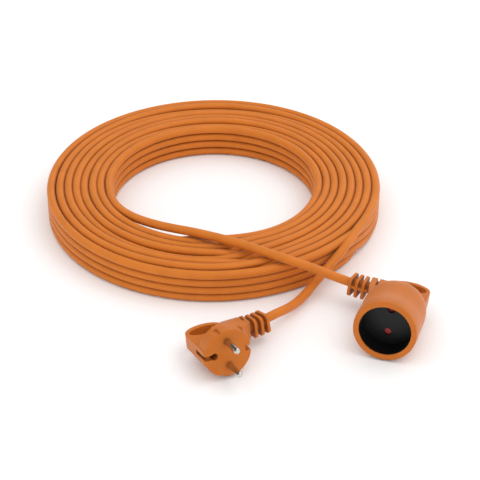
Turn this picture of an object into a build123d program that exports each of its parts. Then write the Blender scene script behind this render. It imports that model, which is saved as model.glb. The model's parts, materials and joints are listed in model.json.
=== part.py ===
"""Extension cord: a hank of round cord, an angled plug with a finger ring, and a shuttered coupler socket."""
import os
from math import cos, radians, sin, tan

from build123d import *

os.makedirs("parts", exist_ok=True)

# ---- cord and coil ---------------------------------------------------------------------------------------
CORD_D = 7.16
CORD_R = CORD_D / 2
LAYERS = 4
COIL_OUTER_R = 141.5
COIL_INNER_R = 85.6
COIL_H = LAYERS * CORD_D
COIL_CENTRE = Vector(-13.48, 54.19, 0)    # puts the origin under the middle of the whole part
LAYER_4_Z = 3.5 * CORD_D                  # centre height of the top layer
LAYER_3_TOP = 3 * CORD_D

# ---- plug ------------------------------------------------------------------------------------------------
PLUG_ORIGIN = Vector(14.0, -230.8, 21.0)  # centre of the pin face, measured from the coil's centre
PLUG_AZIMUTH = -65.0                      # where the pins point
PLUG_TILT = 12.0
PLUG_ROLL = 0.6
PLUG_R = 18.4                             # face disc, for a 37 mm round face
PLUG_BOSS = 12.0
PIN_R = 2.4
PIN_SHANK_R = 2.0                         # moulded-in part of each pin
PIN_COLLAR_R = 3.2
PIN_LENGTH = 19.0
PIN_PITCH = 19.0
PIN_Y = PIN_PITCH / 2
HANDLE_HALF = 5.75                        # half thickness of the finger ring
NECK_HALF = 6.5
PLUG_NECK_X = 29.3
PLUG_NECK_Z = -31.1
PLUG_BACK = -37.6
RING_WALL = 2.8
RING_HOLE_A = 12.4
RING_HOLE_B = 6.1
PLUG_RING_X = -3.2
PLUG_RING_Z = -34.4
EARTH_HOLE_X = -10.7
EARTH_HOLE_R = 2.7

# ---- socket ----------------------------------------------------------------------------------------------
SOCKET_ORIGIN = Vector(128.2, -210.2, 24.9)   # centre of the rim
SOCKET_AZIMUTH = -107.5
SOCKET_TILT = 8.4
SOCKET_ROLL = -4.2
RIM_R = 23.8
RECESS_R = 19.6                           # takes a 37 mm plug face
RECESS_DEPTH = 17.3
LIP = 1.6
CUP_R = 20.4
CUP_FLOOR = 3.0
ENTRY_R = 3.0                             # pin holes through the cup's floor
CUP_BACK = -RECESS_DEPTH - CUP_FLOOR
BODY_STATIONS = [                         # depth, half width, half height and rise of the barrel's sections
    (0, 23.8, 23.8, 0.0),
    (-18, 24.1, 21.8, 0.0),
    (-34, 24.0, 20.1, 0.5),
    (-43, 22.6, 19.1, 0.9),
    (-48.5, 19.8, 17.3, 0.9),
]
BAY_R = 16.5
BAY_BACK = -41.0
WIRING_R = 14.0
WIRING_BACK = -46.5
SHUTTER_FRONT = CUP_BACK - 0.3
SHUTTER_T = 1.8
CARRIER_FRONT = -22.9
CARRIER_BACK = -40.6
SOCKET_NECK_X = -24.8
SOCKET_NECK_Z = -60.0
SOCKET_BACK = -66.6
SOCKET_RING_X = 5.7
SOCKET_RING_Z = -65.6
SOCKET_SIDE_X = 20.9

# ---- strain relief boots ---------------------------------------------------------------------------------
FLANGE_SIZE = 15.4
FLANGE_DROP = 1.0                         # the flanges sit this much below the cord's line
FLANGE_T = 2.4
FLANGE_STEPS = [3.7, 8.7, 13.7]           # distance of each flange's middle from the neck
BOOT_CORE_R = 4.4
SLOT_WIDTH = 1.8                          # upright groove in each side of both necks
SLOT_DEPTH = 2.3
BOOT_LENGTH = FLANGE_STEPS[-1] + FLANGE_T / 2
PLUG_BEND = 13.0
PLUG_BEND_LIFT = 18.0
SOCKET_BEND = 10.0
SOCKET_BEND_LIFT = 0.0

CORE_R = 1.1
STRAP_T = 0.8
FIT = 0.05


# ---- frames ----------------------------------------------------------------------------------------------
def tilted_frame(origin, azimuth, tilt, roll):
    """A plane whose normal points along azimuth and up by tilt, with X level before the roll."""
    a = radians(azimuth)
    t = radians(tilt)
    r = radians(roll)
    normal = Vector(cos(a) * cos(t), sin(a) * cos(t), sin(t))
    level = Vector(-sin(a), cos(a), 0)
    up = normal.cross(level)
    return Plane(origin=origin + COIL_CENTRE, x_dir=level * cos(r) + up * sin(r), z_dir=normal)


def side_plane(frame):
    """Sketch plane across the frame's Y, where a sketch point (u, v) is the frame's (x, z)."""
    return Plane(origin=frame.origin, x_dir=frame.x_dir, z_dir=frame.y_dir * -1)


def end_plane(frame, x):
    """Sketch plane across the frame's X at x, where a sketch point (u, v) is the frame's (y, z)."""
    return Plane(origin=frame.from_local_coords(Vector(x, 0, 0)), x_dir=frame.y_dir, z_dir=frame.x_dir)


def finish(block, name):
    """Label the piece and write its STEP file."""
    block.part.label = name
    export_step(block.part, f"parts/{name}.step")


def arc_radii(points):
    """Radius of the arc at each inner point of a route, from the shorter run and the turn."""
    radii = []
    for before, here, after in zip(points, points[1:], points[2:]):
        turn = (here - before).get_angle(after - here)
        shorter = min((here - before).length, (after - here).length)
        radii.append(0.45 * shorter / tan(radians(turn) / 2))
    return radii


plug = tilted_frame(PLUG_ORIGIN, PLUG_AZIMUTH, PLUG_TILT, PLUG_ROLL)
socket = tilted_frame(SOCKET_ORIGIN, SOCKET_AZIMUTH, SOCKET_TILT, SOCKET_ROLL)
plug_side = side_plane(plug)
socket_side = side_plane(socket)


class Boot:
    """The curved line of a strain relief, from the neck outward, with a plane at any distance along it."""

    def __init__(self, frame, neck_x, neck_z, bend, lift):
        outward = frame.x_dir * (1 if neck_x > 0 else -1)
        toward = frame.z_dir * -cos(radians(lift)) + frame.y_dir * sin(radians(lift))
        origin = frame.from_local_coords(Vector(neck_x, 0, neck_z))
        self.cross = frame.y_dir
        self.plane = Plane(origin=origin, x_dir=outward, z_dir=outward.cross(toward))
        self.bend = bend
        self.radius = BOOT_LENGTH / radians(bend)

    def at(self, distance):
        """Section plane at a distance along the boot, with its X near the frame's Y."""
        angle = distance / self.radius
        point = Vector(self.radius * sin(angle), self.radius * (1 - cos(angle)), 0)
        tangent = self.plane.x_dir * cos(angle) + self.plane.y_dir * sin(angle)
        across = self.cross - tangent * self.cross.dot(tangent)
        return Plane(origin=self.plane.from_local_coords(point), x_dir=across, z_dir=tangent)


plug_boot = Boot(plug, PLUG_NECK_X, PLUG_NECK_Z, PLUG_BEND, PLUG_BEND_LIFT)
socket_boot = Boot(socket, SOCKET_NECK_X, SOCKET_NECK_Z, SOCKET_BEND, SOCKET_BEND_LIFT)

# ---- the coil --------------------------------------------------------------------------------------------
SOCKET_LEAD_R = COIL_INNER_R + CORD_R     # radius of the turn that becomes the socket's lead
SOCKET_LEAD_ANGLE = 193.4
PLUG_LEAD_R = COIL_OUTER_R - CORD_R
PLUG_LEAD_ANGLE = -25.2
NOTCH_GAP = 0.9


def notch(inner, outer, start, span, floor):
    """A ring sector cut from the top of the coil, where one turn has left the stack."""
    with BuildPart() as sector:
        with BuildSketch(Plane(origin=COIL_CENTRE + Vector(0, 0, floor))):
            Circle(outer)
            Circle(inner, mode=Mode.SUBTRACT)
            with BuildLine():
                reach = 260.0
                steps = [start + span * i / 4 for i in range(5)]
                rays = [(reach * cos(radians(a)), reach * sin(radians(a))) for a in steps]
                Polyline((0, 0), *rays, (0, 0))
            make_face(mode=Mode.INTERSECT)
        extrude(amount=COIL_H)
    return sector.part


NOTCH_FLOOR = LAYER_3_TOP - NOTCH_GAP
inner_notch = notch(COIL_INNER_R - 5, COIL_INNER_R + CORD_D + NOTCH_GAP, SOCKET_LEAD_ANGLE, 84, NOTCH_FLOOR)
outer_notch = notch(COIL_OUTER_R - CORD_D - NOTCH_GAP, COIL_OUTER_R + 5, PLUG_LEAD_ANGLE, -26, NOTCH_FLOOR)

with BuildPart() as cord_coil:
    with BuildSketch(Plane(origin=COIL_CENTRE)):
        Circle(COIL_OUTER_R)
        Circle(COIL_INNER_R, mode=Mode.SUBTRACT)
    extrude(amount=COIL_H)
    rims = cord_coil.edges().filter_by(GeomType.CIRCLE)
    fillet(rims, CORD_R - 0.4)
    add(inner_notch, mode=Mode.SUBTRACT)
    add(outer_notch, mode=Mode.SUBTRACT)
finish(cord_coil, "cord_coil")


# ---- the two leads ---------------------------------------------------------------------------------------
def on_coil(radius, angle, z):
    return Vector(radius * cos(radians(angle)), radius * sin(radians(angle)), z)


def along_coil(radius, angle, z, distance):
    """Point on the tangent of a coil circle, distance ahead anticlockwise."""
    a = radians(angle)
    return on_coil(radius, angle, z) + Vector(-sin(a), cos(a), 0) * distance


SOCKET_ROUTE = [
    on_coil(SOCKET_LEAD_R, SOCKET_LEAD_ANGLE, LAYER_4_Z),
    along_coil(SOCKET_LEAD_R, SOCKET_LEAD_ANGLE, LAYER_4_Z, 11.0),
    Vector(-76.6, -46.4, 25.6),
    Vector(-62.0, -62.2, 27.0),
    Vector(-40.0, -77.8, 29.8),
    Vector(-10.6, -92.6, 33.6),
    Vector(20.5, -107.6, 34.2),
    Vector(48.0, -123.8, 34.0),
    Vector(66.5, -131.2, 31.6),
    Vector(82.5, -131.9, 25.4),
]
PLUG_ROUTE = [
    on_coil(PLUG_LEAD_R, PLUG_LEAD_ANGLE, LAYER_4_Z),
    along_coil(PLUG_LEAD_R, PLUG_LEAD_ANGLE, LAYER_4_Z, -20.0),
    Vector(106.0, -98.8, 23.8),
    Vector(94.6, -112.8, 17.6),
    Vector(82.0, -127.0, 10.6),
    Vector(70.6, -143.4, 6.0),
    Vector(60.2, -160.2, 9.4),
]
APPROACH = 13.0                           # straight length of lead before each boot


def lead(route, boot):
    """A plain tube from the coil along the route and straight into the end face of a boot."""
    end = boot.at(BOOT_LENGTH)
    points = [COIL_CENTRE + point for point in route]
    points += [end.origin + end.z_dir * APPROACH, end.origin]
    radii = arc_radii(points)
    with BuildPart() as tube:
        with BuildLine() as path:
            FilletPolyline(*points, radius=radii)
        with BuildSketch(Plane(origin=points[0], z_dir=points[1] - points[0])):
            Circle(CORD_R)
        sweep(path=path.line)
    length = sum(edge.length for edge in path.edges())
    print("lead points", [tuple(round(v, 2) for v in point) for point in points])
    print("lead length", round(length, 1), "radii", [round(r, 1) for r in radii])
    print("  volume / (section x length)", round(tube.part.volume / (3.141593 * CORD_R**2 * length), 4))
    return tube


socket_lead = lead(SOCKET_ROUTE, socket_boot)
finish(socket_lead, "socket_lead")
plug_lead = lead(PLUG_ROUTE, plug_boot)
finish(plug_lead, "plug_lead")


# ---- shared pieces of the two ends -----------------------------------------------------------------------
def boot_body(boot, webbed):
    """Strain relief: a round core with three square flanges, and a front web on the socket's."""
    with BuildPart() as body:
        with BuildLine(boot.plane) as line:
            JernArc(start=(0, 0), tangent=(1, 0), radius=boot.radius, arc_size=boot.bend)
        with BuildSketch(boot.at(0)):
            Circle(BOOT_CORE_R)
        sweep(path=line.line)
        for step in FLANGE_STEPS:
            with BuildSketch(boot.at(step + FLANGE_T / 2)):
                with Locations((-FLANGE_DROP, 0)):
                    RectangleRounded(FLANGE_SIZE, FLANGE_SIZE, 3.2)
            extrude(amount=-FLANGE_T)
        if webbed:
            web_starts = [0.0] + [step + FLANGE_T / 2 - 0.2 for step in FLANGE_STEPS[:-1]]
            for start, step in zip(web_starts, FLANGE_STEPS):
                with BuildSketch(boot.at(start)):
                    Rectangle(2.2, FLANGE_SIZE - 1.0)
                extrude(amount=step - start)
        bore = boot_line(boot, CORD_R)
        add(bore, mode=Mode.SUBTRACT)
    return body


def boot_line(boot, radius):
    """A rod along the boot's line."""
    with BuildPart() as rod:
        with BuildLine(boot.plane) as line:
            JernArc(start=(0, 0), tangent=(1, 0), radius=boot.radius, arc_size=boot.bend)
        with BuildSketch(boot.at(0)):
            Circle(radius)
        sweep(path=line.line)
    return rod.part


def jacket_end(boot, inside):
    """The cord's jacket inside the boot and on into the neck."""
    with BuildPart() as jacket:
        add(boot_line(boot, CORD_R))
        with BuildSketch(boot.at(0)):
            Circle(CORD_R)
        extrude(amount=-inside)
    return jacket


def core(frame, points, radius_limit=2.2):
    """One insulated core through local points of a frame."""
    world = [frame.from_local_coords(Vector(*point)) for point in points]
    radii = [min(r, radius_limit) for r in arc_radii(world)]
    with BuildPart() as wire:
        with BuildLine() as path:
            FilletPolyline(*world, radius=radii)
        with BuildSketch(Plane(origin=world[0], z_dir=world[1] - world[0])):
            Circle(CORE_R)
        sweep(path=path.line)
    return wire


def rod(frame, x, y, front, back, radius):
    """A round rod along the frame's axis."""
    with BuildPart() as pillar:
        with BuildSketch(frame.offset(front)):
            with Locations((x, y)):
                Circle(radius)
        extrude(amount=back - front)
    return pillar


def strap(side, lines, half_width, thickness=STRAP_T):
    """Bent strip that follows each line of (x, z) points in the side plane."""
    with BuildPart() as strip:
        for line in lines:
            for a, b in zip(line, line[1:]):
                grow = thickness / 2
                low = (min(a[0], b[0]) - grow, min(a[1], b[1]) - grow)
                high = (max(a[0], b[0]) + grow, max(a[1], b[1]) + grow)
                with BuildSketch(side):
                    with Locations(((low[0] + high[0]) / 2, (low[1] + high[1]) / 2)):
                        Rectangle(high[0] - low[0], high[1] - low[1])
                extrude(amount=half_width, both=True)
    return strip


# ---- plug: inner pieces ----------------------------------------------------------------------------------
PLUG_TAIL_IN = 7.0
BRIDGE_FRONT = -2.6
BRIDGE_BACK = -9.8
CRIMP_BACK = -11.5
STRAP_Z = -19.0
PLUG_STRAP = [
    [(-15.2, -5.6), (-15.2, STRAP_Z), (12.4, STRAP_Z)],
    [(5.0, STRAP_Z), (5.0, -12.4), (13.2, -12.4), (13.2, -1.8)],
]

for side_name, sign in (("upper", 1), ("lower", -1)):
    with BuildPart() as pin:
        with BuildSketch(plug.offset(BRIDGE_BACK)):
            with Locations((0, sign * PIN_Y)):
                Circle(PIN_SHANK_R)
        extrude(amount=-BRIDGE_BACK)
        with BuildSketch(plug):
            with Locations((0, sign * PIN_Y)):
                Circle(PIN_R)
        extrude(amount=PIN_LENGTH)
        tip = pin.edges().sort_by(Axis(plug.origin, plug.z_dir))[-1]
        fillet(tip, PIN_R - 0.6)
        with BuildSketch(plug.offset(-6.4)):
            with Locations((0, sign * PIN_Y)):
                Circle(PIN_COLLAR_R)
        extrude(amount=1.6)
    finish(pin, f"plug_pin_{side_name}")
    if sign > 0:
        upper_pin = pin.part
    else:
        lower_pin = pin.part
    crimp = rod(plug, 0, sign * PIN_Y, BRIDGE_BACK, CRIMP_BACK, 1.8)
    finish(crimp, f"plug_crimp_{side_name}")

with BuildPart() as plug_bridge:
    with BuildSketch(plug.offset(BRIDGE_FRONT)):
        with Locations((0.5, 0)):
            RectangleRounded(12.5, 26, 3)
    extrude(amount=BRIDGE_BACK - BRIDGE_FRONT)
    add(upper_pin, mode=Mode.SUBTRACT)
    add(lower_pin, mode=Mode.SUBTRACT)
finish(plug_bridge, "plug_bridge")

plug_strap = strap(plug_side, PLUG_STRAP, 1.5)
finish(plug_strap, "plug_earth_strap")
SLEEVE_FRONT = -8.0
SLEEVE_R = 3.3
plug_sleeve_cut = rod(plug, EARTH_HOLE_X, 0, SLEEVE_FRONT, STRAP_Z + STRAP_T / 2, SLEEVE_R)
with BuildPart() as plug_sleeve:
    with BuildSketch(plug.offset(SLEEVE_FRONT)):
        with Locations((EARTH_HOLE_X, 0)):
            Circle(SLEEVE_R)
            Circle(EARTH_HOLE_R, mode=Mode.SUBTRACT)
    extrude(amount=STRAP_Z + STRAP_T / 2 - SLEEVE_FRONT)
finish(plug_sleeve, "plug_earth_sleeve")
plug_earth_crimp = rod(plug, 11.9, 0, STRAP_Z - STRAP_T / 2, -22.0, 1.4)
finish(plug_earth_crimp, "plug_crimp_earth")

plug_tail = jacket_end(plug_boot, PLUG_TAIL_IN)
finish(plug_tail, "plug_jacket_end")
tail_x = PLUG_NECK_X - PLUG_TAIL_IN
PLUG_CORES = {
    "brown": [(tail_x, 1.6, -30), (14.9, 1.6, -30), (14.6, 2.1, -15.4), (0, 9.5, -15.2), (0, 9.5, CRIMP_BACK)],
    "earth": [(tail_x, 0, -32.9), (11.9, 0, -32.9), (11.9, 0, -22.0)],
}
PLUG_CORES["blue"] = [(x, -y, z) for x, y, z in PLUG_CORES["brown"]]
for colour, points in PLUG_CORES.items():
    plug_core = core(plug, points)
    finish(plug_core, f"plug_core_{colour}")


# ---- plug: shell -----------------------------------------------------------------------------------------
with BuildPart() as plug_shoulder:
    with BuildSketch(plug.offset(-PLUG_BOSS + 1.0)):
        Circle(PLUG_R - 0.2)
        with BuildLine():
            neck_corner = (PLUG_NECK_X, NECK_HALF)
            Polyline((6.0, 17.1), neck_corner, (PLUG_NECK_X, -NECK_HALF), (6.0, -17.1), (6.0, 17.1))
        make_face()
    extrude(amount=PLUG_BACK + PLUG_BOSS - 1.0)
    with BuildSketch(end_plane(plug, 0)):
        with BuildLine():
            Polyline(
                (-PLUG_R, -PLUG_BOSS + 1.0),
                (PLUG_R, -PLUG_BOSS + 1.0),
                (PLUG_R - 0.9, -PLUG_BOSS - 1.0),
                (NECK_HALF, PLUG_BACK),
                (-NECK_HALF, PLUG_BACK),
                (-PLUG_R + 0.9, -PLUG_BOSS - 1.0),
                (-PLUG_R, -PLUG_BOSS + 1.0),
            )
        make_face()
    extrude(amount=45, both=True, mode=Mode.INTERSECT)
    with BuildSketch(plug_side):
        with BuildLine():
            Polyline(
                (-7.5, -PLUG_BOSS + 1.0),
                (17.5, -PLUG_BOSS + 1.0),
                (PLUG_NECK_X, PLUG_NECK_Z + NECK_HALF),
                (PLUG_NECK_X, PLUG_BACK),
                (10.6, PLUG_BACK),
                (9.9, -31.0),
                (-7.5, -PLUG_BOSS + 1.0),
            )
        make_face()
    extrude(amount=45, both=True, mode=Mode.INTERSECT)

with BuildPart() as plug_shell:
    with BuildSketch(plug):
        Circle(PLUG_R)
    extrude(amount=-PLUG_BOSS)
    face_edge = plug_shell.edges().sort_by(Axis(plug.origin, plug.z_dir))[-1]
    fillet(face_edge, 0.9)
    with BuildSketch(plug_side):
        with Locations((PLUG_RING_X, PLUG_RING_Z)):
            Ellipse(RING_HOLE_A + RING_WALL, RING_HOLE_B + 4.2)
        with BuildLine():
            Polyline(
                (-PLUG_R, -1.6),
                (0.0, -1.6),
                (9.9, -31.0),
                (12.0, PLUG_BACK),
                (PLUG_RING_X, PLUG_BACK),
                (-PLUG_R, PLUG_RING_Z),
                (-PLUG_R, -1.6),
            )
        make_face()
        with Locations((PLUG_RING_X, PLUG_RING_Z)):
            Ellipse(RING_HOLE_A, RING_HOLE_B, mode=Mode.SUBTRACT)
    extrude(amount=HANDLE_HALF, both=True)
    add(plug_shoulder.part)
    # moulded-in pockets for the bridge, the crimps, the cores, the strap and the jacket
    with BuildSketch(plug.offset(BRIDGE_FRONT)):
        with Locations((0.5, 0)):
            RectangleRounded(12.5, 26, 3)
    extrude(amount=BRIDGE_BACK - BRIDGE_FRONT, mode=Mode.SUBTRACT)
    with BuildSketch(plug.offset(BRIDGE_BACK)):
        with BuildLine():
            Polyline((-2.2, 11.7), (4, 11.7), (17, 5), (17, -5), (4, -11.7), (-2.2, -11.7), close=True)
        make_face()
    extrude(amount=-16.6 - BRIDGE_BACK, mode=Mode.SUBTRACT)
    with BuildSketch(plug.offset(-16.0)):
        with Locations((13.7, 0)):
            Circle(3.7)
    extrude(amount=PLUG_NECK_Z + 16.0, mode=Mode.SUBTRACT)
    with BuildSketch(end_plane(plug, PLUG_NECK_X - PLUG_TAIL_IN)):
        with Locations((0, PLUG_NECK_Z)):
            Circle(4.0)
    extrude(amount=-(PLUG_NECK_X - PLUG_TAIL_IN - 10.4), mode=Mode.SUBTRACT)
    add(plug_tail.part, mode=Mode.SUBTRACT)
    add(upper_pin, mode=Mode.SUBTRACT)
    add(lower_pin, mode=Mode.SUBTRACT)
    add(plug_sleeve_cut.part, mode=Mode.SUBTRACT)
    add(plug_strap.part, mode=Mode.SUBTRACT)
    add(plug_earth_crimp.part, mode=Mode.SUBTRACT)
    # face: earth hole with its channel, the clip slots at both sides, and the guide flats
    with BuildSketch(plug):
        with Locations((EARTH_HOLE_X, 0)):
            Circle(EARTH_HOLE_R)
    extrude(amount=-16.0, mode=Mode.SUBTRACT)
    with BuildSketch(plug):
        with Locations((-16.0, 0)):
            Rectangle(7.6, 3.6)
    extrude(amount=-3.2, mode=Mode.SUBTRACT)
    with BuildSketch(plug):
        with Locations((-17.6, 0)):
            Rectangle(4.0, 3.0)
    extrude(amount=-16.6, mode=Mode.SUBTRACT)
    with BuildSketch(plug):
        with Locations((16.9, 0)):
            Rectangle(6.0, 4.8)
    extrude(amount=-10.6, mode=Mode.SUBTRACT)
    for sign in (1, -1):
        with BuildSketch(plug):
            with Locations((-6.6, sign * 17.9)):
                Rectangle(5.2, 3.4)
        extrude(amount=-8.0, mode=Mode.SUBTRACT)
        with BuildSketch(end_plane(plug, PLUG_NECK_X - 4.2)):
            with Locations((sign * NECK_HALF, PLUG_NECK_Z - 1.0)):
                Rectangle(2 * SLOT_DEPTH, 11.4)
        extrude(amount=SLOT_WIDTH / 2, both=True, mode=Mode.SUBTRACT)
finish(plug_shell, "plug_shell")

plug_relief = boot_body(plug_boot, webbed=False)
finish(plug_relief, "plug_strain_relief")


# ---- socket: inner pieces --------------------------------------------------------------------------------
CONTACT_FRONT = -24.6
CONTACT_BACK = -39.0
SOCKET_CRIMP_BACK = -42.2
SOCKET_TAIL_IN = 6.3
SOCKET_STRAP_Z = -42.2
SOCKET_STRAP_T = 0.7
CLIP_X = RECESS_R + SOCKET_STRAP_T / 2    # the earth clips lie pressed back, flush with the recess wall
SOCKET_STRAP = [
    [(CLIP_X, -8.5), (CLIP_X, -20.85), (15.4, -20.85), (15.4, SOCKET_STRAP_Z)],
    [(15.4, SOCKET_STRAP_Z), (-15.4, SOCKET_STRAP_Z)],
    [(-15.4, SOCKET_STRAP_Z), (-15.4, -20.85), (-CLIP_X, -20.85), (-CLIP_X, -8.5)],
]

with BuildPart() as socket_cup:
    with BuildSketch(socket.offset(-LIP)):
        Circle(CUP_R)
    extrude(amount=CUP_BACK + LIP)
    with BuildSketch(socket.offset(-LIP)):
        Circle(RECESS_R)
    extrude(amount=-RECESS_DEPTH + LIP, mode=Mode.SUBTRACT)
    for sign in (1, -1):
        with BuildSketch(socket.offset(-RECESS_DEPTH)):
            with Locations((0, sign * PIN_Y)):
                Circle(ENTRY_R)
        extrude(amount=-CUP_FLOOR, mode=Mode.SUBTRACT)
        with BuildSketch(socket.offset(-8.0)):
            with Locations((sign * 20.1, 0)):
                Rectangle(1.6, 4.6)
        extrude(amount=CUP_BACK + 8.0, mode=Mode.SUBTRACT)
finish(socket_cup, "socket_cup")

with BuildPart() as shutter:
    with BuildSketch(socket.offset(SHUTTER_FRONT)):
        Circle(4.2)
        Rectangle(4.4, 2 * PIN_Y)
        with Locations((0, PIN_Y), (0, -PIN_Y)):
            Circle(3.6)
        Circle(1.5 + FIT, mode=Mode.SUBTRACT)
    extrude(amount=-SHUTTER_T)
finish(shutter, "socket_shutter")

post = rod(socket, 0, 0, CUP_BACK - 0.05, -29.0, 1.5)
finish(post, "socket_shutter_post")

with BuildPart() as spring:
    with BuildLine() as coil_line:
        start = socket.from_local_coords(Vector(0, 0, -25.2))
        Helix(pitch=0.75, height=2.1, radius=2.5, center=start, direction=socket.z_dir)
    with BuildSketch(Plane(origin=coil_line.line @ 0, z_dir=coil_line.line % 0)):
        Circle(0.25)
    sweep(path=coil_line.line)
finish(spring, "socket_shutter_spring")

with BuildPart() as carrier:
    with BuildSketch(socket.offset(CARRIER_FRONT)):
        Circle(BAY_R - 0.1)
        with Locations((0, PIN_Y), (0, -PIN_Y)):
            Circle(3.6, mode=Mode.SUBTRACT)
        with Locations((15.9, 0), (-15.9, 0)):
            Rectangle(2.2, 4.6, mode=Mode.SUBTRACT)
    extrude(amount=CARRIER_BACK - CARRIER_FRONT)
    with BuildSketch(socket.offset(CARRIER_FRONT)):
        Circle(3.4)
    extrude(amount=-2.8, mode=Mode.SUBTRACT)
    add(post.part, mode=Mode.SUBTRACT)
finish(carrier, "socket_carrier")

for side_name, sign in (("upper", 1), ("lower", -1)):
    with BuildPart() as contact:
        with BuildSketch(socket.offset(CONTACT_FRONT)):
            with Locations((0, sign * PIN_Y)):
                Circle(3.5)
        extrude(amount=CONTACT_BACK - CONTACT_FRONT)
        with BuildSketch(socket.offset(CONTACT_FRONT)):
            with Locations((0, sign * PIN_Y)):
                Circle(PIN_R + 0.06)
        extrude(amount=CONTACT_BACK - CONTACT_FRONT + 1.2, mode=Mode.SUBTRACT)
        with BuildSketch(socket.offset(CONTACT_FRONT)):
            with Locations((0, sign * PIN_Y)):
                Rectangle(8.0, 0.9)
        extrude(amount=-9.5, mode=Mode.SUBTRACT)
    finish(contact, f"socket_contact_{side_name}")
    crimp = rod(socket, 0, sign * PIN_Y, CONTACT_BACK, SOCKET_CRIMP_BACK, 1.8)
    finish(crimp, f"socket_crimp_{side_name}")

socket_strap = strap(socket_side, SOCKET_STRAP, 2.0, SOCKET_STRAP_T)
finish(socket_strap, "socket_earth_strap")
earth_crimp = rod(socket, -11.4, 0, SOCKET_STRAP_Z - SOCKET_STRAP_T / 2, -44.6, 1.6)
finish(earth_crimp, "socket_crimp_earth")

socket_tail = jacket_end(socket_boot, SOCKET_TAIL_IN)
finish(socket_tail, "socket_jacket_end")
tail_x = SOCKET_NECK_X + SOCKET_TAIL_IN
SOCKET_CORES = {
    "brown": [(tail_x, 1.9, -59), (-14.9, 1.9, -59), (-14.9, 2.3, -45.2), (0, 9.5, -45.2), (0, 9.5, -42.2)],
    "earth": [(tail_x, 0, -61.9), (-11.4, 0, -61.9), (-11.4, 0, -44.6)],
}
SOCKET_CORES["blue"] = [(x, -y, z) for x, y, z in SOCKET_CORES["brown"]]
for colour, points in SOCKET_CORES.items():
    socket_core = core(socket, points)
    finish(socket_core, f"socket_core_{colour}")


# ---- socket: shell ---------------------------------------------------------------------------------------
with BuildPart() as socket_barrel:
    for depth, half_x, half_y, rise in BODY_STATIONS:
        with BuildSketch(socket.offset(depth)):
            with Locations((0, rise)):
                Ellipse(half_x + 0.001, half_y)
    loft()

with BuildPart() as socket_shell:
    add(socket_barrel.part)
    with BuildSketch(socket_side):
        with Locations((SOCKET_RING_X, SOCKET_RING_Z)):
            Ellipse(SOCKET_SIDE_X - SOCKET_RING_X, RING_HOLE_B + 3.5)
        with BuildLine():
            Polyline(
                (SOCKET_SIDE_X, -40.0),
                (SOCKET_SIDE_X, SOCKET_RING_Z),
                (SOCKET_RING_X, SOCKET_BACK - 4.0),
                (-7.0, SOCKET_BACK),
                (-7.0, -40.0),
                (SOCKET_SIDE_X, -40.0),
            )
        make_face()
        with Locations((SOCKET_RING_X, SOCKET_RING_Z)):
            Ellipse(RING_HOLE_A, RING_HOLE_B, mode=Mode.SUBTRACT)
    extrude(amount=HANDLE_HALF, both=True)
    with BuildSketch(socket_side):
        with BuildLine():
            Polyline(
                (-7.0, -40.0),
                (-7.0, SOCKET_BACK),
                (SOCKET_NECK_X, SOCKET_BACK),
                (SOCKET_NECK_X, SOCKET_NECK_Z + NECK_HALF),
                (-22.0, -40.0),
                (-7.0, -40.0),
            )
        make_face()
    extrude(amount=NECK_HALF, both=True)
    with BuildSketch(socket):
        Circle(RECESS_R)
    extrude(amount=-LIP, mode=Mode.SUBTRACT)
    with BuildSketch(socket.offset(-LIP)):
        Circle(CUP_R)
    extrude(amount=-21.4 + LIP, mode=Mode.SUBTRACT)
    with BuildSketch(socket.offset(-21.4)):
        Circle(BAY_R)
    extrude(amount=BAY_BACK + 21.4, mode=Mode.SUBTRACT)
    with BuildSketch(socket.offset(BAY_BACK)):
        Circle(WIRING_R)
        Rectangle(32.4, 5.0)
    extrude(amount=WIRING_BACK - BAY_BACK, mode=Mode.SUBTRACT)
    with BuildSketch(socket.offset(WIRING_BACK + 2.6)):
        with Locations((-13.5, 0)):
            Circle(4.8)
    extrude(amount=SOCKET_NECK_Z - WIRING_BACK - 2.6, mode=Mode.SUBTRACT)
    with BuildSketch(end_plane(socket, SOCKET_NECK_X + SOCKET_TAIL_IN)):
        with Locations((0, SOCKET_NECK_Z)):
            Circle(4.2)
    extrude(amount=-(SOCKET_NECK_X + SOCKET_TAIL_IN) - 9.6, mode=Mode.SUBTRACT)
    add(socket_tail.part, mode=Mode.SUBTRACT)
    for sign in (1, -1):
        with BuildSketch(end_plane(socket, SOCKET_NECK_X + 5.3)):
            with Locations((sign * NECK_HALF, SOCKET_NECK_Z - 0.6)):
                Rectangle(2 * SLOT_DEPTH, 12.4)
        extrude(amount=SLOT_WIDTH / 2, both=True, mode=Mode.SUBTRACT)
finish(socket_shell, "socket_shell")

socket_relief = boot_body(socket_boot, webbed=True)
finish(socket_relief, "socket_strain_relief")

pieces = [cord_coil, socket_lead, plug_lead, plug_shell, socket_shell, plug_relief, socket_relief]
pieces += [upper_pin, lower_pin]
boxes = [(p.part if hasattr(p, "part") else p).bounding_box() for p in pieces]
low = [min(getattr(b.min, k) for b in boxes) for k in "XYZ"]
high = [max(getattr(b.max, k) for b in boxes) for k in "XYZ"]
print("box", [round(v, 2) for v in low], [round(v, 2) for v in high])
print("centre", [round((a + b) / 2, 2) for a, b in zip(low, high)])
print("socket origin", socket.origin, "axis", socket.z_dir)
print("plug origin", plug.origin, "axis", plug.z_dir)
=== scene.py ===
"""Looks of the extension cord: one wound orange cord, its angled plug and its shuttered socket."""
import json
from math import cos, radians, sin
from random import Random

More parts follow.
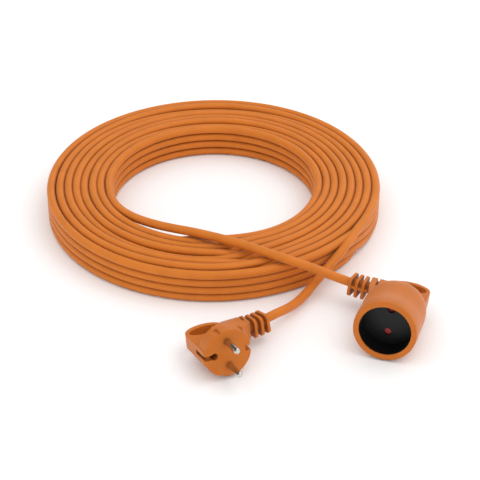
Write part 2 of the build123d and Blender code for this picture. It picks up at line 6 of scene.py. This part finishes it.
import bpy
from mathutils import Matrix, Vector

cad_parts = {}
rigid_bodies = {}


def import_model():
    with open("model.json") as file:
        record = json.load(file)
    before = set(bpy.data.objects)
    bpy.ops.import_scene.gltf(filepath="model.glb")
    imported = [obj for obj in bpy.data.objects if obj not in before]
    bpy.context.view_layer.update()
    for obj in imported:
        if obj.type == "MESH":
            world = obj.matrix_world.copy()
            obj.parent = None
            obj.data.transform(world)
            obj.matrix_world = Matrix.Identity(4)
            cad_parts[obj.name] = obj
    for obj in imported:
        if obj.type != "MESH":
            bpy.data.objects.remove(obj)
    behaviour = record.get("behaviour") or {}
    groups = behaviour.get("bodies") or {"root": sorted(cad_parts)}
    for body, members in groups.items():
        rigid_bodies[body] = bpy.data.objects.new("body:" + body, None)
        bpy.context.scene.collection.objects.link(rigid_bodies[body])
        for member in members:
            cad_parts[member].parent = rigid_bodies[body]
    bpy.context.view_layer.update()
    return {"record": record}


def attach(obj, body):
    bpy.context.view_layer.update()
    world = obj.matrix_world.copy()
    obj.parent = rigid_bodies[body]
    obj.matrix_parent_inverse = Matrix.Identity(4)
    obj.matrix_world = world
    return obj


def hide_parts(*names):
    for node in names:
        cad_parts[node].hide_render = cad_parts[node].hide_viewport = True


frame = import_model()
MM = 0.001

# ---- camera ----------------------------------------------------------------------------------------------
CAMERA_PLACE = (0.0090, -0.9862, 0.6621)
CAMERA_PITCH = 56.16                      # degrees up from straight down
CAMERA_LENS = 107.13                      # mm
CAMERA_SENSOR = 36                        # mm
CAMERA_NEAR = 0.01


def make_camera():
    lens = bpy.data.cameras.new("camera")
    lens.lens = CAMERA_LENS
    lens.sensor_width = CAMERA_SENSOR
    lens.clip_start = CAMERA_NEAR
    camera = bpy.data.objects.new("camera", lens)
    camera.location = CAMERA_PLACE
    camera.rotation_euler = (radians(CAMERA_PITCH), 0, 0)
    bpy.context.scene.collection.objects.link(camera)
    bpy.context.scene.camera = camera


# ---- the cord: from the plug's boot, round the coil, to the socket's boot --------------------------------
CORD_D = 7.16
CORD_R = CORD_D / 2
COIL_OUTER_R = 141.5
COIL_INNER_R = 85.6
COIL_CENTRE = Vector((-13.48, 54.19, 0))
COLUMNS = 8
LAYERS = 4
FIRST_R = COIL_INNER_R + CORD_R
LAST_R = COIL_OUTER_R - CORD_R
STEP = 12                                 # degrees from one coil point to the next
CUT = cos(radians(STEP / 2))              # the smooth line runs this much inside its points
RAMP = 20                                 # degrees in which a turn moves to its next place
LEAST_GAP = STEP / 3                      # degrees from a turn's last point to its end
RIPPLE = 0.12                             # most that a turn's waves move it, in mm
RIPPLE_SEED = 7
PLUG_LEAD_ANGLE = -25.2
SOCKET_LEAD_ANGLE = 193.4

# where each column's turns change places, in degrees, from the innermost column to the outermost
CHANGE_ANGLES = [-106, -84, -82, -79, -77, -74, -71, -30]

# dents of the upper turns: column, middle angle, half width, rise and outward shift in mm
TOP_DENTS = [
    (8, -90, 70, -0.8, 0.2),
    (8, 60, 70, 0.3, 0.0),
    (7, -100, 75, 1.4, 0.1),
    (7, 95, 60, 0.9, 0.2),
    (7, 180, 70, 0.2, -0.7),
    (6, -105, 75, 1.3, 0.0),
    (6, 90, 65, -2.0, -0.2),
    (6, 5, 50, -0.7, 0.0),
    (6, 180, 60, 0.3, -0.8),
    (5, -105, 80, -2.0, 0.0),
    (5, 50, 50, 0.5, 0.0),
    (5, 165, 60, 0.6, -0.8),
    (4, -90, 65, 1.2, -0.2),
    (4, 5, 60, 0.8, 0.0),
    (4, 150, 60, -0.5, -0.5),
    (3, -120, 60, 0.6, -0.2),
    (3, 85, 75, 0.9, -0.3),
    (3, 175, 50, 0.3, -0.6),
    (2, 90, 80, -2.0, 0.3),
    (2, -110, 60, 0.9, -0.3),
    (2, 10, 50, -0.6, 0.3),
    (1, 100, 80, 0.5, 0.0),
    (1, -45, 50, -1.6, 0.8),
]
LAYER_SHARE = (0.0, 0.3, 0.6, 1.0)        # how much of a dent each layer takes, from the floor up

PLUG_ROUTE = [                            # from the coil to the plug, in mm from the coil's centre
    (116.3, -76.8, 25.1),
    (106.0, -98.8, 23.8),
    (94.6, -112.8, 17.6),
    (82.0, -127.0, 10.6),
    (70.6, -143.4, 6.0),
    (60.2, -160.2, 9.4),
]
SOCKET_ROUTE = [                          # from the coil to the socket
    (-86.8, -20.7, 25.1),
    (-84.2, -31.4, 25.1),
    (-76.6, -46.4, 25.6),
    (-62.0, -62.2, 27.0),
    (-40.0, -77.8, 29.8),
    (-10.6, -92.6, 33.6),
    (20.5, -107.6, 34.2),
    (48.0, -123.8, 34.0),
    (66.5, -131.2, 31.6),
    (82.5, -131.9, 25.4),
]

# where the cord meets each end's boot, and the place before it, which sets its direction there
PLUG_EXIT = Vector((26.85, -128.81, 15.16))
PLUG_APPROACH = Vector((37.08, -120.80, 15.60))
SOCKET_EXIT = Vector((95.39, -85.89, 18.82))
SOCKET_APPROACH = Vector((83.93, -79.79, 19.41))
LINE_STEPS = 6                            # drawn stretches from one point to the next
ROUND_STEPS = 5                           # how finely the cord is round


def smooth_step(t):
    return t * t * (3 - 2 * t)


def column_r(column):
    return FIRST_R + (LAST_R - FIRST_R) * (column - 1) / (COLUMNS - 1)


def layer_z(layer):
    return CORD_D * (layer - 0.5)


def around(r, angle, z):
    a = radians(angle)
    return COIL_CENTRE + Vector((r * cos(a), r * sin(a), z))


def dent(column, layer, angle):
    """Rise and outward shift of a turn at an angle."""
    rise = 0
    shift = 0
    for place, middle, half_width, up, out in TOP_DENTS:
        away = abs((angle - middle + 180) % 360 - 180)
        if place == column and away < half_width:
            weight = smooth_step(1 - away / half_width)
            rise += up * weight
            shift += out * weight
    share = LAYER_SHARE[layer - 1]
    return rise * share, shift * share


def winding_order():
    """(column, layer) of each turn, from the plug's end: down the outer column, up the next, and so on."""
    order = []
    for column in range(COLUMNS, 0, -1):
        down = (COLUMNS - column) % 2 == 0
        layers = range(LAYERS, 0, -1) if down else range(1, LAYERS + 1)
        order += [(column, layer) for layer in layers]
    return order


def coil_points():
    """Points of every turn, anticlockwise, from where the plug's lead joins to where the socket's leaves."""
    rng = Random(RIPPLE_SEED)
    order = winding_order()
    points = []
    angle = PLUG_LEAD_ANGLE
    for index, (column, layer) in enumerate(order):
        last = index == len(order) - 1
        change = CHANGE_ANGLES[column - 1] + 360 * (index + 1)
        end = SOCKET_LEAD_ANGLE + 360 * index if last else change + RAMP / 2
        following = order[index] if last else order[index + 1]
        ripple = [rng.uniform(-RIPPLE, RIPPLE) for _ in range(4)]
        while angle < end - LEAST_GAP:
            t = 0 if last else smooth_step(min(max((angle - change) / RAMP + 0.5, 0), 1))
            wave = ripple[0] * sin(radians(angle)) + ripple[1] * sin(radians(2 * angle) + ripple[2])
            rise, shift = dent(column, layer, angle)
            r = column_r(column) * (1 - t) + column_r(following[0]) * t + shift * (1 - t) + wave
            z = layer_z(layer) * (1 - t) + layer_z(following[1]) * t + rise * (1 - t)
            points.append(around(r / CUT, angle, z))
            angle += STEP
    return points


def cord_points():
    points = [PLUG_EXIT, PLUG_APPROACH]
    points += [COIL_CENTRE + Vector(point) for point in reversed(PLUG_ROUTE)]
    points += coil_points()
    points += [COIL_CENTRE + Vector(point) for point in SOCKET_ROUTE]
    points += [SOCKET_APPROACH, SOCKET_EXIT]
    return [point * MM for point in points]


def make_cord(material):
    points = cord_points()
    line = bpy.data.curves.new("cord", "CURVE")
    line.dimensions = "3D"
    spline = line.splines.new("NURBS")
    spline.points.add(len(points) - 1)
    for control, point in zip(spline.points, points):
        control.co = (*point, 1)
    spline.order_u = 3
    spline.use_endpoint_u = True
    line.resolution_u = LINE_STEPS
    line.bevel_depth = CORD_R * MM
    line.bevel_resolution = ROUND_STEPS
    line.use_fill_caps = True
    line.materials.append(material)
    cord = bpy.data.objects.new("cord", line)
    bpy.context.scene.collection.objects.link(cord)
    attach(cord, "cord_set")
    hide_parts("cord_coil", "socket_lead", "plug_lead")
    cord_length(line)


def cord_length(line):
    """Length of the smooth line itself, with no thickness."""
    bare = line.copy()
    bare.bevel_depth = 0
    holder = bpy.data.objects.new("bare", bare)
    mesh = bpy.data.meshes.new_from_object(holder)
    places = [vertex.co for vertex in mesh.vertices]
    length = sum((b - a).length for a, b in zip(places, places[1:]))
    bpy.data.objects.remove(holder)
    bpy.data.meshes.remove(mesh)
    bpy.data.curves.remove(bare)
    print("cord length", round(length, 3), "m")
    return round(length, 2)


# ---- materials -------------------------------------------------------------------------------------------
WEAR_SCALE = 60                           # of the slow drift in colour
PATCHES = (0.3, 0.7)                      # where the drift is darkest and lightest
GLOSS_SPREAD = 0.08                       # how far the roughness varies each way
SHEEN_ROUGHNESS = 0.3
GRAIN_DEPTH = 0.0003
SHADE_REACH = 0.005                      # how far the painted groove shade looks out of a groove
SHADE_OPENING = (0.25, 0.85)             # how open a groove is where its painted shade is darkest, and where it has none


def noise(tree, scale, detail, roughness):
    """A noise pattern that stays with the object."""
    place = tree.nodes.new("ShaderNodeTexCoord")
    pattern = tree.nodes.new("ShaderNodeTexNoise")
    pattern.inputs["Scale"].default_value = scale
    pattern.inputs["Detail"].default_value = detail
    pattern.inputs["Roughness"].default_value = roughness
    tree.links.new(place.outputs["Object"], pattern.inputs["Vector"])
    return pattern.outputs["Fac"]


def remap(tree, value, start, stop, first, last):
    """The value's range from start to stop, spread from first to last."""
    spread = tree.nodes.new("ShaderNodeMapRange")
    spread.inputs["From Min"].default_value = start
    spread.inputs["From Max"].default_value = stop
    spread.inputs["To Min"].default_value = first
    spread.inputs["To Max"].default_value = last
    tree.links.new(value, spread.inputs["Value"])
    return spread.outputs["Result"]


def drifting(tree, colour, tint):
    """The colour, a little darker or lighter in slow patches."""
    ramp = tree.nodes.new("ShaderNodeValToRGB")
    dark, light = ramp.color_ramp.elements
    dark.position, light.position = PATCHES
    dark.color = (*[channel * (1 - tint) for channel in colour], 1)
    light.color = (*[min(channel * (1 + tint), 1) for channel in colour], 1)
    tree.links.new(noise(tree, WEAR_SCALE, detail=4, roughness=0.6), ramp.inputs["Fac"])
    return ramp.outputs["Color"]


def painted_groove_shade(tree, colour, share):
    """The colour with painted shade in its grooves, darker by up to a share."""
    opening = tree.nodes.new("ShaderNodeAmbientOcclusion")
    opening.samples = 8
    opening.inputs["Distance"].default_value = SHADE_REACH
    level = remap(tree, opening.outputs["AO"], *SHADE_OPENING, 1 - share, 1)
    darker = tree.nodes.new("ShaderNodeVectorMath")
    darker.operation = "SCALE"
    tree.links.new(colour, darker.inputs[0])
    tree.links.new(level, darker.inputs["Scale"])
    return darker.outputs["Vector"]


def surface(name, colour, roughness, grain, bump, tint=0.06, metallic=0, sheen=0, specular=0.5, groove_shade=0):
    """A moulded or rolled surface: fine grain, slow colour drift, uneven gloss, painted shade in grooves."""
    material = bpy.data.materials.new(name)
    material.use_nodes = True
    tree = material.node_tree
    shader = tree.nodes["Principled BSDF"]
    shader.inputs["Metallic"].default_value = metallic
    shader.inputs["Sheen Weight"].default_value = sheen
    shader.inputs["Sheen Roughness"].default_value = SHEEN_ROUGHNESS
    shader.inputs["Specular IOR Level"].default_value = specular
    fine = noise(tree, grain, detail=3, roughness=0.55)
    gloss = remap(tree, fine, 0, 1, roughness - GLOSS_SPREAD, roughness + GLOSS_SPREAD)
    relief = tree.nodes.new("ShaderNodeBump")
    relief.inputs["Strength"].default_value = bump
    relief.inputs["Distance"].default_value = GRAIN_DEPTH
    tree.links.new(fine, relief.inputs["Height"])
    # the base colour carries painted shade in its grooves
    tree.links.new(painted_groove_shade(tree, drifting(tree, colour, tint), groove_shade), shader.inputs["Base Color"])
    tree.links.new(gloss, shader.inputs["Roughness"])
    tree.links.new(relief.outputs["Normal"], shader.inputs["Normal"])
    return material


ORANGE = (0.62, 0.175, 0.016)
SHELL_ORANGE = (0.53, 0.142, 0.014)

# the groove darkening set for each material is painted shade
MATERIALS = {
    "cord_orange": surface(
        "cord_orange", ORANGE, 0.48, grain=700, bump=0.08, specular=0.25, sheen=0.14, groove_shade=0.32),
    "shell_orange": surface(
        "shell_orange", SHELL_ORANGE, 0.46, grain=1400, bump=0.1, specular=0.22, sheen=0.16, groove_shade=0.6),
    "relief_orange": surface(
        "relief_orange", SHELL_ORANGE, 0.5, grain=1400, bump=0.1, specular=0.25, sheen=0.08, groove_shade=0.45),
    "cup_black": surface(
        "cup_black", (0.004, 0.0045, 0.005), 0.42, grain=1800, bump=0.08, tint=0.2, specular=0.35),
    "carrier_black": surface("carrier_black", (0.02, 0.02, 0.022), 0.5, grain=1800, bump=0.1, tint=0.2),
    "shutter_red": surface("shutter_red", (0.56, 0.06, 0.056), 0.38, grain=1500, bump=0.06),
    "pin_nickel": surface(
        "pin_nickel", (0.56, 0.54, 0.51), 0.16, grain=2600, bump=0.05, tint=0.08, metallic=1),
    "spring_steel": surface("spring_steel", (0.45, 0.45, 0.46), 0.3, grain=2600, bump=0.06, metallic=1),
    "contact_brass": surface("contact_brass", (0.68, 0.4, 0.14), 0.45, grain=2200, bump=0.06, metallic=1),
    "core_brown": surface("core_brown", (0.1, 0.035, 0.014), 0.42, grain=1600, bump=0.06),
    "core_blue": surface("core_blue", (0.012, 0.05, 0.3), 0.42, grain=1600, bump=0.06),
    "core_earth": surface("core_earth", (0.12, 0.36, 0.02), 0.42, grain=1600, bump=0.06),
}


def paint_nodes():
    """Give every CAD node the material of its slot."""
    for part in frame["record"]["subparts"]:
        mesh = bpy.data.objects[part["node"]].data
        mesh.materials.clear()
        mesh.materials.append(MATERIALS[part["material_slot"]])


# ---- moulded pieces --------------------------------------------------------------------------------------
KEEP_REACH = 3.4 * MM                     # the moulding stays tight round each pin within this distance
SHELL_VOXEL = 0.35                        # mm, fine enough to keep the slots and notches
BOOT_VOXEL = 0.25


def pin_feet():
    """Where each pin's plain shank starts, half its length behind its mount's place."""
    pins = [mount for mount in frame["record"]["mounts"] if mount["kind"] == "pin"]
    return [Vector(pin["pos_m"]) - Vector(pin["axis"]) * pin["dims"]["length_mm"] / 2 * MM for pin in pins]


def evaluated_copy(piece):
    """The mesh of a piece with its modifiers worked in."""
    bpy.context.view_layer.update()
    graph = bpy.context.evaluated_depsgraph_get()
    return bpy.data.meshes.new_from_object(piece.evaluated_get(graph))


def is_near(place, spots):
    """Whether a place lies within reach of any of the spots."""
    return any((place - spot).length < KEEP_REACH for spot in spots)


def softened(node, name, slot, voxel, passes, tight=()):
    """A copy of a CAD node with its edges rounded as a moulding's are, but not near the tight spots."""
    source = bpy.data.objects[node]
    piece = bpy.data.objects.new(name, source.data.copy())
    bpy.context.scene.collection.objects.link(piece)
    remesh = piece.modifiers.new("remesh", "REMESH")
    remesh.mode = "VOXEL"
    remesh.voxel_size = voxel * MM
    solid = evaluated_copy(piece)
    piece.modifiers.clear()
    piece.data = solid
    loose = piece.vertex_groups.new(name="loose")
    loose.add([v.index for v in solid.vertices if not is_near(v.co, tight)], 1.0, "REPLACE")
    blur = piece.modifiers.new("blur", "SMOOTH")
    blur.factor = 0.5
    blur.iterations = passes
    blur.vertex_group = "loose"
    mesh = evaluated_copy(piece)
    piece.modifiers.clear()
    piece.vertex_groups.clear()
    piece.data = mesh
    mesh.materials.clear()
    mesh.materials.append(MATERIALS[slot])
    mesh.shade_smooth()
    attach(piece, "cord_set")
    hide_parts(node)
    return piece


# ---- stage -----------------------------------------------------------------------------------------------
FLOOR_REACH = 6
FLOOR_WHITE = (0.95, 0.95, 0.95, 1)
SKY_WHITE = (1, 1, 1, 1)
SKY_STRENGTH = 1.08
DARK_SIDE = Vector((-0.85, 0.1, 0.5)).normalized()
DARK_SPREAD = (0.15, 0.45)                # how far towards the dark side the dimming starts and ends
DARK_LEVEL = 0.12


def make_stage():
    mesh = bpy.data.meshes.new("floor")
    corners = [(-1, -1), (1, -1), (1, 1), (-1, 1)]
    mesh.from_pydata([(x * FLOOR_REACH, y * FLOOR_REACH, 0) for x, y in corners], [], [(0, 1, 2, 3)])
    floor = bpy.data.objects.new("floor", mesh)
    bpy.context.scene.collection.objects.link(floor)
    material = bpy.data.materials.new("floor")
    material.use_nodes = True
    shader = material.node_tree.nodes["Principled BSDF"]
    shader.inputs["Base Color"].default_value = FLOOR_WHITE
    shader.inputs["Roughness"].default_value = 0.9
    shader.inputs["Specular IOR Level"].default_value = 0.1
    mesh.materials.append(material)


def add_light(name, place, target, size, energy):
    light = bpy.data.lights.new(name, "AREA")
    light.shape = "SQUARE"
    light.size = size
    light.energy = energy
    lamp = bpy.data.objects.new(name, light)
    lamp.location = place
    lamp.rotation_euler = (Vector(target) - Vector(place)).to_track_quat("-Z", "Y").to_euler()
    bpy.context.scene.collection.objects.link(lamp)


def make_world():
    """A white studio with one darker side, which only reflections see, such as the pins'."""
    world = bpy.data.worlds.new("studio")
    bpy.context.scene.world = world
    world.use_nodes = True
    tree = world.node_tree
    sky = tree.nodes["Background"]
    sky.inputs["Strength"].default_value = SKY_STRENGTH
    direction = tree.nodes.new("ShaderNodeTexCoord")
    towards = tree.nodes.new("ShaderNodeVectorMath")
    towards.operation = "DOT_PRODUCT"
    towards.inputs[1].default_value = DARK_SIDE
    tree.links.new(direction.outputs["Generated"], towards.inputs[0])
    ray = tree.nodes.new("ShaderNodeLightPath")
    pick = tree.nodes.new("ShaderNodeMix")
    pick.data_type = "RGBA"
    pick.inputs["A"].default_value = SKY_WHITE
    tree.links.new(ray.outputs["Is Glossy Ray"], pick.inputs["Factor"])
    tree.links.new(remap(tree, towards.outputs["Value"], *DARK_SPREAD, 1, DARK_LEVEL), pick.inputs["B"])
    tree.links.new(pick.outputs["Result"], sky.inputs["Color"])


def make_lights():
    make_world()
    add_light("overhead", place=(0.75, -0.1, 1.5), target=(0, 0, 0), size=1.2, energy=4.5)
    bpy.context.scene.view_settings.view_transform = "Standard"


make_camera()
make_stage()
make_lights()
paint_nodes()
softened("plug_shell", "plug_body", "shell_orange", SHELL_VOXEL, passes=3, tight=pin_feet())
socket_shell = softened("socket_shell", "socket_body", "shell_orange", SHELL_VOXEL, passes=4)
softened("plug_strain_relief", "plug_boot", "relief_orange", BOOT_VOXEL, passes=5)
socket_boot = softened("socket_strain_relief", "socket_boot", "relief_orange", BOOT_VOXEL, passes=5)
make_cord(MATERIALS["cord_orange"])
